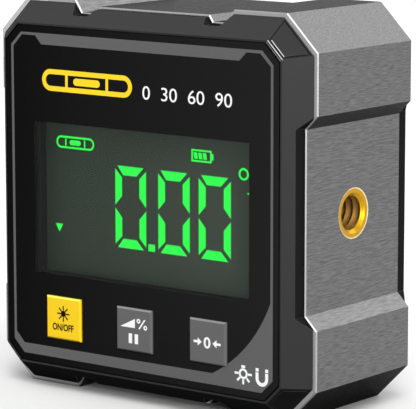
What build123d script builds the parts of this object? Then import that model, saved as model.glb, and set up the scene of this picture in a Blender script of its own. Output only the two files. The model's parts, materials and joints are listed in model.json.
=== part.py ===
from build123d import *
from math import atan2, degrees, hypot, radians, sqrt, tan
import os

# Pocket digital angle meter: a square aluminium frame closed by a moulded bezel with a display
# and three keys at the front, and by a moulded cover with a battery bay at the back.
# Sizes are in millimetres. X runs to the right, Y to the back and Z up. The origin is on the
# plane of the feet, under the middle of the case.

# Frame: a square extrusion along Y, with chamfered corners and a recess in each side
CASE = 60.0
HALF = CASE / 2
FRAME_DEPTH = 23.8
CASE_CORNER = 5.45
RECESS = 2.0
SIDE_FOOT = 15.55
SIDE_FLOOR = SIDE_FOOT - RECESS
BASE_FOOT = 15.05
BASE_FLOOR = 13.75
PAD_DROP = 1.0
PAD_FOOT = 11.22
PAD_EDGE = 10.55
BORE_HALF = 25.0
BORE_CORNER = 3.5
EDGE_BREAK = 0.17

# Bezel and rear cover: both rise as a tapered rim from the frame's end faces
RIM_RISE = 3.65
RIM_FOOT_HALF = 29.36
RIM_FOOT_CORNER = 5.26
RIM_FACE_HALF = 26.33
RIM_FACE_CORNER = 2.63
RIM_INSET = 0.36
GROOVE_MARGIN = 0.22
GROOVE_WIDE = 0.28
GROOVE_DEEP = 0.25
WALL = 1.5
SKIRT_GAP = 0.15
SKIRT_WALL = 1.2
SKIRT_LENGTH = 3.2

# Face panel and window
PANEL_THICK = 0.6
POCKET_HALF = 26.08
POCKET_CORNER = 2.55
PANEL_GAP = 0.2
WINDOW_WIDE = 40.94
WINDOW_TALL = 23.4
WINDOW_X = 0.11
WINDOW_Z = -0.26
LENS_LIP = 1.2
LENS_LIP_THICK = 0.6
LENS_GAP = 0.03
WINDOW_RIB = 1.2
WINDOW_RIB_TALL = 0.6

# Keys and the switches behind them
KEY_WIDE = 6.8
KEY_TALL = 6.6
KEY_PROUD = 0.35
KEY_PITCH = 13.9
KEY_MIDDLE = -0.72
KEY_Z = -18.55
KEY_GAP = 0.15
KEY_CHAMFER = 0.25
KEY_WALL = 1.1
KEY_STEM = 2.6
FLANGE_LIP = 0.5
FLANGE_THICK = 0.8
FLANGE_GAP = 0.05
SWITCH_SIDE = 6.2
SWITCH_TALL = 3.6
SWITCH_LID = 0.45
SWITCH_FLOOR = 1.4
SWITCH_LEG = 0.7
SWITCH_LEG_TALL = 0.35
SWITCH_LEG_PITCH = 4.5
PLUNGER = 3.4
PLUNGER_COLLAR = 4.3
PLUNGER_COLLAR_TALL = 0.8
PLUNGER_RISE = 0.7
PLUNGER_GAP = 0.1

# Display: glass with a contact ledge at its foot, light behind it, board behind that
GLASS_WIDE = 45.0
GLASS_TALL = 27.0
GLASS_PLATE = 1.05
GLASS_LEDGE = 2.3
DISPLAY_GAP = 0.1
LIGHT_EDGE = 1.6
GUIDE_THICK = 1.7
LED_WIDE = 3.0
LED_THICK = 1.1
LED_TALL = 1.3
LED_PITCH = 10.75
STRIP_WIDE = 36.0
STRIP_TALL = 1.6
BOARD_HALF = 23.3
BOARD_NOTCH = 5.1
BOARD_FRONT = 4.4
BOARD_THICK = 1.6

# Small parts on the back of the board
SENSOR_SIDE = 5.0
SENSOR_TALL = 1.0
SENSOR_PLACE = (0, 9.0)
CHIP_SIDE = 9.0
CHIP_TALL = 1.5
CHIP_STAND = 0.1
CHIP_CHAMFER = 0.15
CHIP_PLACE = (5.0, -4.0)
LEG_REACH = 0.9
LEG_ROOT = 0.1
LEG_TALL = 0.35
LEG_WIDE = 0.35
LEG_PITCH = 1.0
LEG_COUNT = 8
CRYSTAL_LONG = 10.8
CRYSTAL_WIDE = 4.4
CRYSTAL_TALL = 3.4
CRYSTAL_PLACE = (-9.5, 1.0)
CAPACITOR_LONG = 3.2
CAPACITOR_WIDE = 1.6
CAPACITOR_TALL = 1.2
CAPACITOR_PITCH = 3.0
CAPACITOR_COUNT = 4
CAPACITOR_PLACE = (15.0, 3.0)

# Battery bay: two AAA cells lie along X, one above the other
CELL_RADIUS = 5.25
CELL_LENGTH = 44.5
CELL_NUB = 1.0
CELL_NUB_RADIUS = 1.9
CELL_END_ROUND = 0.6
CELL_GROOVE_RADIUS = 3.2
CELL_GROOVE = 0.4
CELL_DEPTH = 20.65
CELL_Z = 5.6
TROUGH_RADIUS = 5.45
BAY_WALL = 0.8
BAY_HALF_LONG = 23.75
BAY_HALF_TALL = 12.0
COVER_WALL = 1.25

# Battery door: two hooks at its foot, a latch at its head
DOOR_HALF_LONG = 22.6
DOOR_HALF_TALL = 12.6
DOOR_GAP = 0.15
RIM_GAP = 0.05
HOOK_X = 12.5
HOOK_WIDE = 4.4
HOOK_THICK = 0.9
HOOK_DROP = 0.5
HOOK_TIP = 13.3
HOOK_ROOT = 11.2
HOOK_RIB = 0.7
HOOK_GAP = 0.2
HOOK_SLOT_TALL = 1.6
HOOK_SLOT_PLAY = 0.4
LATCH_WIDE = 10.0
LATCH_HEAD = 16.4
LATCH_LEG = 0.7
LATCH_DEEP = 3.0
LATCH_GAP = 0.2
LATCH_SPREAD = 2.0
LATCH_PAD = 0.85
GRIP_WIDE = 0.3
GRIP_PITCH = 0.7
GRIP_SHORT = 2.0

# Contacts, springs and leads
CONTACT_THICK = 0.35
CONTACT_HALF = 3.6
CONTACT_TOP = 25.2
CONTACT_FOOT = 17.0
CONTACT_TAIL = 2.0
CONTACT_TAIL_END = 13.2
TAIL_SLOT = 0.6
TAIL_PLAY = 0.2
CONTACT_LINK = 21.0
DIMPLE_RADIUS = 1.5
DIMPLE_RISE = 0.3
DIMPLE_TAPER = 30
SPRING_WIRE = 0.45
WIRE_SIDES = 6
SPRING_TURNS = 3
SPRING_FOOT = 3.5
SPRING_HEAD = 2.1
SPRING_TOUCH = 0.02
LEAD = 1.0
LEAD_SIDES = 8
LEAD_BEND = 1.6
LEAD_RUN_DEPTH = 9.6
LEAD_PAD_X = -19.0

# Fasteners
CASE_SCREW_PLACE = 21.1
CASE_SCREW_SEAT = 24.2
CASE_SCREW_LENGTH = 16.0
CASE_SCREW = 2.2
CASE_SCREW_HEAD = 4.2
CASE_SCREW_HEAD_TALL = 1.5
CASE_BOSS = 4.9
CASE_POST = 6.0
CASE_JOINT_DEPTH = 16.0
SCREW_PLAY = 0.05
PILOT_SPARE = 1.0
HEAD_PLAY = 0.25
BOARD_SCREW = 1.6
BOARD_SCREW_HEAD = 3.2
BOARD_SCREW_HEAD_TALL = 1.1
BOARD_SCREW_LENGTH = 5.6
BOARD_BOSS = 3.8
BOARD_HEAD_X = 12.0
BOARD_HEAD_Z = 19.0
SLOT_WIDE = 0.6
SLOT_LONG = 1.3
SLOT_DEEP = 0.7

# Tripod insert in the right side, for a quarter-inch screw, and the magnets in the base
INSERT_RADIUS = 3.8
INSERT_BORE = 2.55
INSERT_INNER_END = 22.4
INSERT_FLOOR = 0.8
INSERT_MOUTH = 3.05
INSERT_GROOVE = 0.25
INSERT_PLAY = 0.02
MAGNET_RADIUS = 3.0
MAGNET_TALL = 2.95
MAGNET_PLAY = 0.03
MAGNET_POCKET = 3.0
MAGNET_X = 5.5
MAGNET_Y = 6.5

# Stations, as depths behind the frame's front end face
FACE = -RIM_RISE
PANEL_BACK = FACE + PANEL_THICK
LENS_BACK = PANEL_BACK + LENS_LIP_THICK
WALL_BACK = PANEL_BACK + WALL
RIB_BACK = WALL_BACK + WINDOW_RIB_TALL
GLASS_FRONT = RIB_BACK + DISPLAY_GAP
GLASS_STEP = GLASS_FRONT + GLASS_PLATE
GLASS_BACK = GLASS_STEP + GLASS_PLATE
LIGHT_BACK = BOARD_FRONT - RIM_GAP
BOARD_BACK = BOARD_FRONT + BOARD_THICK
KEY_FACE = FACE - KEY_PROUD
FLANGE_FRONT = WALL_BACK + FLANGE_GAP
FLANGE_BACK = FLANGE_FRONT + FLANGE_THICK
SWITCH_FRONT = BOARD_FRONT - SWITCH_TALL
PLUNGER_FRONT = SWITCH_FRONT - PLUNGER_RISE
COLLAR_FRONT = SWITCH_FRONT + SWITCH_LID + FLANGE_GAP
PLUNGER_BACK = COLLAR_FRONT + PLUNGER_COLLAR_TALL
COVER_FACE = FRAME_DEPTH + RIM_RISE
COVER_INNER = COVER_FACE - COVER_WALL
HOOK_BACK = COVER_INNER - HOOK_DROP
LATCH_POCKET = LATCH_DEEP + LATCH_LEG
MID_DEPTH = FRAME_DEPTH / 2
CASE_SCREW_TIP = CASE_SCREW_SEAT - CASE_SCREW_LENGTH
BOARD_SCREW_TIP = BOARD_BACK - BOARD_SCREW_LENGTH
# The front end face stands where the whole thickness, keys included, is centred on Y = 0
FRAME_FRONT = (KEY_PROUD + RIM_RISE - COVER_FACE) / 2

SKIRT_HALF = BORE_HALF - SKIRT_GAP
SKIRT_BORE = SKIRT_HALF - SKIRT_WALL
CONTACT_X = BAY_HALF_LONG - RIM_GAP
CELL_TIP_X = CONTACT_X - CONTACT_THICK - DIMPLE_RISE
KEY_NODES = ["power_key", "hold_key", "zero_key"]
KEY_PLACES = [(KEY_MIDDLE + i * KEY_PITCH, KEY_Z) for i in (-1, 0, 1)]
CORNER_PLACES = [(x * CASE_SCREW_PLACE, z * CASE_SCREW_PLACE) for x in (-1, 1) for z in (-1, 1)]
BOARD_PLACES = [(KEY_MIDDLE + i * KEY_PITCH / 2, KEY_Z) for i in (-1, 1)]
BOARD_PLACES += [(-BOARD_HEAD_X, BOARD_HEAD_Z), (BOARD_HEAD_X, BOARD_HEAD_Z)]


def station(depth):
    """Plane that faces the front, this deep behind the frame's front end face."""
    return Plane(origin=(0, FRAME_FRONT + depth, HALF), x_dir=(1, 0, 0), z_dir=(0, -1, 0))


def across(x):
    """Plane that faces right at x. Its own X is the depth and its own Y the height."""
    return Plane(origin=(x, FRAME_FRONT, HALF), x_dir=(0, 1, 0), z_dir=(1, 0, 0))


def level(z):
    """Plane that faces up, this high above the case's middle. Its own Y is the depth."""
    return Plane(origin=(0, FRAME_FRONT, HALF + z), x_dir=(1, 0, 0), z_dir=(0, 0, 1))


def octagon(half, corner):
    """Square with chamfered corners, drawn in the current sketch."""
    Rectangle(2 * half, 2 * half)
    chamfer(vertices(), corner)


def window(margin):
    """Display window grown by a margin, drawn in the current sketch."""
    with Locations((WINDOW_X, WINDOW_Z)):
        Rectangle(WINDOW_WIDE + 2 * margin, WINDOW_TALL + 2 * margin)


def case_section(plane, inset=0.0):
    """Outline of the frame's section, moved inwards by inset."""
    with BuildSketch(plane) as section:
        with BuildLine():
            Polyline(
                (0, HALF - PAD_DROP),
                (PAD_EDGE, HALF - PAD_DROP),
                (PAD_FOOT, HALF - RECESS),
                (BASE_FLOOR, HALF - RECESS),
                (BASE_FOOT, HALF),
                (HALF - CASE_CORNER, HALF),
                (HALF, HALF - CASE_CORNER),
                (HALF, SIDE_FOOT),
                (HALF - RECESS, SIDE_FLOOR),
                (HALF - RECESS, 0),
            )
            mirror(about=Plane.XZ)
            mirror(about=Plane.YZ)
        make_face()
        if inset:
            offset(amount=-inset, kind=Kind.INTERSECTION)
    return section.sketch


def tapered_rim(near, far, foot, face):
    """Cap between two stations, tapering from foot to face, its sides following the recesses."""
    with BuildPart() as rim:
        with BuildSketch(station(foot)):
            octagon(RIM_FOOT_HALF, RIM_FOOT_CORNER)
        with BuildSketch(station(face)):
            octagon(RIM_FACE_HALF, RIM_FACE_CORNER)
        loft()
        extrude(case_section(station(far), RIM_INSET), amount=far - near, mode=Mode.INTERSECT)
    return rim.part


def corner_grooves():
    """Fine groove round each of the bezel's slanted corners, as four rings to cut away."""
    foot_reach = (2 * RIM_FOOT_HALF - RIM_FOOT_CORNER) / sqrt(2)
    face_reach = (2 * RIM_FACE_HALF - RIM_FACE_CORNER) / sqrt(2)
    foot_wide = RIM_FOOT_CORNER * sqrt(2)
    face_wide = RIM_FACE_CORNER * sqrt(2)
    spread = foot_reach - face_reach
    slant = hypot(RIM_RISE, spread)
    side_angle = degrees(atan2(slant, (foot_wide - face_wide) / 2))
    middle = (foot_reach + face_reach) / 2 / sqrt(2)
    corner = Plane(
        origin=(middle, FRAME_FRONT - RIM_RISE / 2, HALF + middle),
        x_dir=(-1, 0, 1),
        z_dir=(RIM_RISE / sqrt(2), -spread, RIM_RISE / sqrt(2)),
    )
    with BuildPart() as rings:
        with BuildSketch(corner):
            for inset, mode in ((GROOVE_MARGIN, Mode.ADD), (GROOVE_MARGIN + GROOVE_WIDE, Mode.SUBTRACT)):
                narrower = 2 * inset / tan(radians(side_angle / 2))
                Trapezoid(foot_wide - narrower, slant - 2 * inset, side_angle, mode=mode)
        extrude(amount=GROOVE_DEEP, both=True)
        mirror(about=Plane.YZ)
        mirror(about=Plane.XY.offset(HALF))
    return rings.part


def contact_blade(foot, top, z):
    """Face of a sheet contact behind the cell at this height, drawn in the current sketch."""
    with Locations(((foot + top) / 2, z)):
        Rectangle(top - foot, 2 * CONTACT_HALF)


def screws(place_list, radius, head_radius, head_tall, length, seat):
    """Set of screws from the back, their heads on the seat, with crossed slots."""
    with BuildPart() as screw_set:
        with BuildSketch(station(seat)):
            with Locations(*place_list):
                Circle(radius)
        extrude(amount=length)
        with BuildSketch(station(seat + head_tall)):
            with Locations(*place_list):
                Circle(head_radius)
        extrude(amount=head_tall)
        with BuildSketch(station(seat + head_tall)):
            with Locations(*place_list):
                Rectangle(SLOT_LONG * head_radius, SLOT_WIDE)
                Rectangle(SLOT_WIDE, SLOT_LONG * head_radius)
        extrude(amount=SLOT_DEEP, mode=Mode.SUBTRACT)
    return screw_set


def save(piece, node):
    """Label a finished piece and write it as one STEP file."""
    piece.part.label = node
    export_step(piece.part, f"parts/{node}.step")


os.makedirs("parts", exist_ok=True)
front_rim = tapered_rim(FACE, 0, foot=0, face=FACE)
back_rim = tapered_rim(FRAME_DEPTH, COVER_FACE, foot=FRAME_DEPTH, face=COVER_FACE)

# Frame, with its bright edge breaks, magnet pockets and the hole for the tripod insert
with BuildPart() as frame:
    extrude(case_section(station(FRAME_DEPTH)), amount=FRAME_DEPTH)
    end_faces = frame.faces().sort_by(Axis.Y)
    chamfer(end_faces[0].outer_wire().edges() + end_faces[-1].outer_wire().edges(), EDGE_BREAK)
    with BuildSketch(station(FRAME_DEPTH)):
        octagon(BORE_HALF, BORE_CORNER)
    extrude(amount=FRAME_DEPTH, mode=Mode.SUBTRACT)
    with BuildSketch(across(BORE_HALF - RECESS)):
        with Locations((MID_DEPTH, 0)):
            Circle(INSERT_RADIUS + INSERT_PLAY)
    extrude(amount=CASE, mode=Mode.SUBTRACT)
    with BuildSketch(Plane.XY.offset(PAD_DROP)):
        with Locations((0, FRAME_FRONT + MID_DEPTH)):
            with GridLocations(2 * MAGNET_X, 2 * MAGNET_Y, 2, 2):
                Circle(MAGNET_RADIUS + MAGNET_PLAY)
    extrude(amount=MAGNET_POCKET, mode=Mode.SUBTRACT)
save(frame, "frame")

# Magnets, a hair below the pad they are let into
with BuildPart() as base_magnets:
    with BuildSketch(Plane.XY.offset(PAD_DROP)):
        with Locations((0, FRAME_FRONT + MID_DEPTH)):
            with GridLocations(2 * MAGNET_X, 2 * MAGNET_Y, 2, 2):
                Circle(MAGNET_RADIUS)
    extrude(amount=MAGNET_TALL)
save(base_magnets, "base_magnets")

# Tripod insert: a blind brass bush, grooved outside to hold in the wall
with BuildPart() as tripod_insert:
    face_x = HALF - RECESS
    mouth_depth = INSERT_MOUTH - INSERT_BORE
    wall_middle = (BORE_HALF + face_x) / 2
    with BuildSketch(station(MID_DEPTH)):
        with BuildLine():
            Polyline(
                (INSERT_INNER_END, 0),
                (INSERT_INNER_END, INSERT_RADIUS - INSERT_GROOVE),
                (INSERT_INNER_END + INSERT_GROOVE, INSERT_RADIUS),
                (wall_middle - 2 * INSERT_GROOVE, INSERT_RADIUS),
                (wall_middle - INSERT_GROOVE, INSERT_RADIUS - INSERT_GROOVE),
                (wall_middle + INSERT_GROOVE, INSERT_RADIUS - INSERT_GROOVE),
                (wall_middle + 2 * INSERT_GROOVE, INSERT_RADIUS),
                (face_x, INSERT_RADIUS),
                (face_x, INSERT_MOUTH),
                (face_x - mouth_depth, INSERT_BORE),
                (INSERT_INNER_END + INSERT_FLOOR, INSERT_BORE),
                (INSERT_INNER_END + INSERT_FLOOR, 0),
                close=True,
            )
        make_face()
    revolve(axis=Axis((0, FRAME_FRONT + MID_DEPTH, HALF), (1, 0, 0)))
save(tripod_insert, "tripod_insert")

# Front bezel: tapered rim, skirt into the frame, window, key openings and bosses
with BuildPart() as front_bezel:
    add(front_rim)
    with BuildSketch(station(SKIRT_LENGTH)):
        octagon(SKIRT_HALF, BORE_CORNER)
    extrude(amount=SKIRT_LENGTH)
    with BuildSketch(station(SKIRT_LENGTH)):
        octagon(SKIRT_BORE, BORE_CORNER)
    extrude(amount=SKIRT_LENGTH - WALL_BACK, mode=Mode.SUBTRACT)
    # Bosses for the case screws and for the board
    with BuildSketch(station(CASE_JOINT_DEPTH)):
        with Locations(*CORNER_PLACES):
            Circle(CASE_BOSS / 2)
    extrude(amount=CASE_JOINT_DEPTH - WALL_BACK)
    with BuildSketch(station(BOARD_FRONT)):
        with Locations(*BOARD_PLACES):
            Circle(BOARD_BOSS / 2)
    extrude(amount=BOARD_FRONT - WALL_BACK)
    with BuildSketch(station(RIB_BACK)):
        window(WINDOW_RIB)
    extrude(amount=RIB_BACK - WALL_BACK)
    # Pilot holes, open to the back
    with BuildSketch(station(CASE_JOINT_DEPTH)):
        with Locations(*CORNER_PLACES):
            Circle(CASE_SCREW / 2 + SCREW_PLAY)
    extrude(amount=CASE_JOINT_DEPTH - CASE_SCREW_TIP + PILOT_SPARE, mode=Mode.SUBTRACT)
    with BuildSketch(station(BOARD_FRONT)):
        with Locations(*BOARD_PLACES):
            Circle(BOARD_SCREW / 2 + SCREW_PLAY)
    extrude(amount=BOARD_FRONT - BOARD_SCREW_TIP + PILOT_SPARE, mode=Mode.SUBTRACT)
    # Pocket for the face panel, rebate for the lens, window and key openings
    with BuildSketch(station(PANEL_BACK)):
        octagon(POCKET_HALF, POCKET_CORNER)
    extrude(amount=PANEL_THICK, mode=Mode.SUBTRACT)
    with BuildSketch(station(LENS_BACK)):
        window(LENS_LIP + LENS_GAP)
    extrude(amount=LENS_BACK - PANEL_BACK, mode=Mode.SUBTRACT)
    with BuildSketch(station(RIB_BACK)):
        window(0)
    extrude(amount=RIB_BACK - LENS_BACK, mode=Mode.SUBTRACT)
    with BuildSketch(station(WALL_BACK)):
        with Locations(*KEY_PLACES):
            Rectangle(KEY_WIDE + 2 * KEY_GAP, KEY_TALL + 2 * KEY_GAP)
    extrude(amount=WALL, mode=Mode.SUBTRACT)
    add(corner_grooves(), mode=Mode.SUBTRACT)
save(front_bezel, "front_bezel")

# Face panel: flat printed sheet with openings for the lens and the keys
with BuildPart() as face_panel:
    with BuildSketch(station(PANEL_BACK)):
        octagon(POCKET_HALF - PANEL_GAP, POCKET_CORNER)
        with Locations((WINDOW_X, WINDOW_Z)):
            Rectangle(WINDOW_WIDE, WINDOW_TALL, mode=Mode.SUBTRACT)
        with Locations(*KEY_PLACES):
            Rectangle(KEY_WIDE + 2 * KEY_GAP, KEY_TALL + 2 * KEY_GAP, mode=Mode.SUBTRACT)
    extrude(amount=PANEL_THICK)
save(face_panel, "face_panel")

# Lens: its raised middle fills the panel's window, its lip lies under the panel
with BuildPart() as display_lens:
    with BuildSketch(station(LENS_BACK)):
        window(LENS_LIP)
    extrude(amount=LENS_BACK - PANEL_BACK)
    with BuildSketch(station(PANEL_BACK)):
        window(-LENS_GAP)
    extrude(amount=PANEL_THICK)
save(display_lens, "display_lens")

# Display glass: a long front plate and a shorter back plate, which leaves the contact ledge bare
with BuildPart() as display_glass:
    with BuildSketch(station(GLASS_STEP)):
        with Locations((WINDOW_X, WINDOW_Z)):
            Rectangle(GLASS_WIDE, GLASS_TALL)
    extrude(amount=GLASS_PLATE)
    with BuildSketch(station(GLASS_BACK)):
        with Locations((WINDOW_X, WINDOW_Z + GLASS_LEDGE / 2)):
            Rectangle(GLASS_WIDE, GLASS_TALL - GLASS_LEDGE)
    extrude(amount=GLASS_PLATE)
save(display_glass, "display_glass")

# Backlight: a white tray, with a clear guide and two lamps at its left end let into it
guide_z = WINDOW_Z + GLASS_LEDGE / 2
guide_wide = GLASS_WIDE - 2 * LIGHT_EDGE - LED_THICK
guide_tall = GLASS_TALL - GLASS_LEDGE - 2 * LIGHT_EDGE
guide_x = WINDOW_X + LED_THICK / 2
lamp_x = guide_x - guide_wide / 2 - LED_THICK / 2
with BuildPart() as backlight_frame:
    with BuildSketch(station(LIGHT_BACK)):
        with Locations((WINDOW_X, guide_z)):
            Rectangle(GLASS_WIDE, GLASS_TALL - GLASS_LEDGE)
    extrude(amount=LIGHT_BACK - GLASS_BACK)
    with BuildSketch(station(GLASS_BACK + GUIDE_THICK)):
        with Locations((guide_x, guide_z)):
            Rectangle(guide_wide, guide_tall)
        with Locations((lamp_x, guide_z)):
            with GridLocations(LED_THICK, LED_PITCH, 1, 2):
                Rectangle(LED_THICK, LED_WIDE)
    extrude(amount=GUIDE_THICK, mode=Mode.SUBTRACT)
save(backlight_frame, "backlight_frame")

with BuildPart() as light_guide:
    with BuildSketch(station(GLASS_BACK + GUIDE_THICK)):
        with Locations((guide_x, guide_z)):
            Rectangle(guide_wide, guide_tall)
    extrude(amount=GUIDE_THICK)
save(light_guide, "light_guide")

with BuildPart() as backlight_leds:
    with BuildSketch(station(GLASS_BACK + GUIDE_THICK)):
        with Locations((lamp_x, guide_z)):
            with GridLocations(LED_THICK, LED_PITCH, 1, 2):
                Rectangle(LED_THICK, LED_WIDE)
    extrude(amount=LED_TALL)
save(backlight_leds, "backlight_leds")

# Elastomer strip that joins the glass ledge to the board
with BuildPart() as contact_strip:
    with BuildSketch(station(BOARD_FRONT)):
        with Locations((WINDOW_X, WINDOW_Z - (GLASS_TALL - STRIP_TALL) / 2 + DISPLAY_GAP)):
            Rectangle(STRIP_WIDE, STRIP_TALL)
    extrude(amount=BOARD_FRONT - GLASS_STEP)
save(contact_strip, "contact_strip")

# Main board, notched at its corners for the case bosses
with BuildPart() as main_board:
    notch_place = 2 * BOARD_HALF - BOARD_NOTCH
    with BuildSketch(station(BOARD_BACK)):
        Rectangle(2 * BOARD_HALF, 2 * BOARD_HALF)
        with GridLocations(notch_place, notch_place, 2, 2):
            Rectangle(BOARD_NOTCH, BOARD_NOTCH, mode=Mode.SUBTRACT)
        with Locations(*BOARD_PLACES):
            Circle(BOARD_SCREW / 2 + SCREW_PLAY, mode=Mode.SUBTRACT)
    extrude(amount=BOARD_THICK)
save(main_board, "main_board")

# Small parts on the back of the board
with BuildPart() as tilt_sensor:
    with BuildSketch(station(BOARD_BACK + SENSOR_TALL)):
        with Locations(SENSOR_PLACE):
            Rectangle(SENSOR_SIDE, SENSOR_SIDE)
    extrude(amount=SENSOR_TALL)
    chamfer(tilt_sensor.faces().sort_by(Axis.Y)[-1].edges(), CHIP_CHAMFER)
save(tilt_sensor, "tilt_sensor")

with BuildPart() as controller_chip:
    with BuildSketch(station(BOARD_BACK + CHIP_TALL)):
        with Locations(CHIP_PLACE):
            Rectangle(CHIP_SIDE, CHIP_SIDE)
    extrude(amount=CHIP_TALL - CHIP_STAND)
    chamfer(controller_chip.faces().sort_by(Axis.Y)[-1].edges(), CHIP_CHAMFER)
    # Leads: a row on each side, reaching down to the board
    with BuildSketch(station(BOARD_BACK + LEG_TALL)):
        with Locations(CHIP_PLACE):
            with GridLocations(CHIP_SIDE + LEG_REACH, LEG_PITCH, 2, LEG_COUNT):
                Rectangle(LEG_REACH + LEG_ROOT, LEG_WIDE)
            with GridLocations(LEG_PITCH, CHIP_SIDE + LEG_REACH, LEG_COUNT, 2):
                Rectangle(LEG_WIDE, LEG_REACH + LEG_ROOT)
    extrude(amount=LEG_TALL)
save(controller_chip, "controller_chip")

with BuildPart() as crystal:
    with BuildSketch(station(BOARD_BACK + CRYSTAL_TALL)):
        with Locations(CRYSTAL_PLACE):
            SlotOverall(CRYSTAL_LONG, CRYSTAL_WIDE)
    extrude(amount=CRYSTAL_TALL)
    chamfer(crystal.faces().sort_by(Axis.Y)[-1].edges(), CHIP_CHAMFER)
save(crystal, "crystal")

with BuildPart() as chip_capacitors:
    with BuildSketch(station(BOARD_BACK + CAPACITOR_TALL)):
        with Locations(CAPACITOR_PLACE):
            with GridLocations(CAPACITOR_PITCH, CAPACITOR_PITCH, 1, CAPACITOR_COUNT):
                Rectangle(CAPACITOR_LONG, CAPACITOR_WIDE)
    extrude(amount=CAPACITOR_TALL)
save(chip_capacitors, "chip_capacitors")

# Switch bodies: square boxes with a round well for the plunger and four legs on the board
with BuildPart() as key_switches:
    with BuildSketch(station(BOARD_FRONT)):
        with Locations(*KEY_PLACES):
            Rectangle(SWITCH_SIDE, SWITCH_SIDE)
    extrude(amount=SWITCH_TALL)
    with BuildSketch(station(BOARD_FRONT)):
        for x, z in KEY_PLACES:
            with Locations((x, z)):
                with GridLocations(SWITCH_SIDE + SWITCH_LEG, SWITCH_LEG_PITCH, 2, 2):
                    Rectangle(SWITCH_LEG + LEG_ROOT, SWITCH_LEG)
    extrude(amount=SWITCH_LEG_TALL)
    with BuildSketch(station(BOARD_FRONT - SWITCH_FLOOR)):
        with Locations(*KEY_PLACES):
            Circle(PLUNGER_COLLAR / 2 + PLUNGER_GAP)
    extrude(amount=SWITCH_TALL - SWITCH_FLOOR - SWITCH_LID, mode=Mode.SUBTRACT)
    with BuildSketch(station(SWITCH_FRONT + SWITCH_LID)):
        with Locations(*KEY_PLACES):
            Circle(PLUNGER / 2 + PLUNGER_GAP)
    extrude(amount=SWITCH_LID, mode=Mode.SUBTRACT)
save(key_switches, "key_switches")

# Keys: chamfered caps with a lip behind the bezel's wall and a stem down to the plunger
for node, place in zip(KEY_NODES, KEY_PLACES):
    with BuildPart() as key:
        with BuildSketch(station(FLANGE_BACK)):
            with Locations(place):
                Rectangle(KEY_WIDE, KEY_TALL)
        extrude(amount=FLANGE_BACK - KEY_FACE)
        chamfer(key.faces().sort_by(Axis.Y)[0].edges(), KEY_CHAMFER)
        with BuildSketch(station(FLANGE_BACK)):
            with Locations(place):
                Rectangle(KEY_WIDE + 2 * FLANGE_LIP, KEY_TALL + 2 * FLANGE_LIP)
        extrude(amount=FLANGE_THICK)
        with BuildSketch(station(FLANGE_BACK)):
            with Locations(place):
                Rectangle(KEY_WIDE - 2 * KEY_WALL, KEY_TALL - 2 * KEY_WALL)
        extrude(amount=FLANGE_BACK - KEY_FACE - KEY_WALL, mode=Mode.SUBTRACT)
        with BuildSketch(station(PLUNGER_FRONT)):
            with Locations(place):
                Circle(KEY_STEM / 2)
        extrude(amount=PLUNGER_FRONT - KEY_FACE - KEY_WALL)
    save(key, node)

    with BuildPart() as plunger:
        with BuildSketch(station(PLUNGER_BACK)):
            with Locations(place):
                Circle(PLUNGER / 2)
        extrude(amount=PLUNGER_BACK - PLUNGER_FRONT)
        with BuildSketch(station(COLLAR_FRONT + PLUNGER_COLLAR_TALL)):
            with Locations(place):
                Circle(PLUNGER_COLLAR / 2)
        extrude(amount=PLUNGER_COLLAR_TALL)
    save(plunger, node.replace("key", "plunger"))

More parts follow.
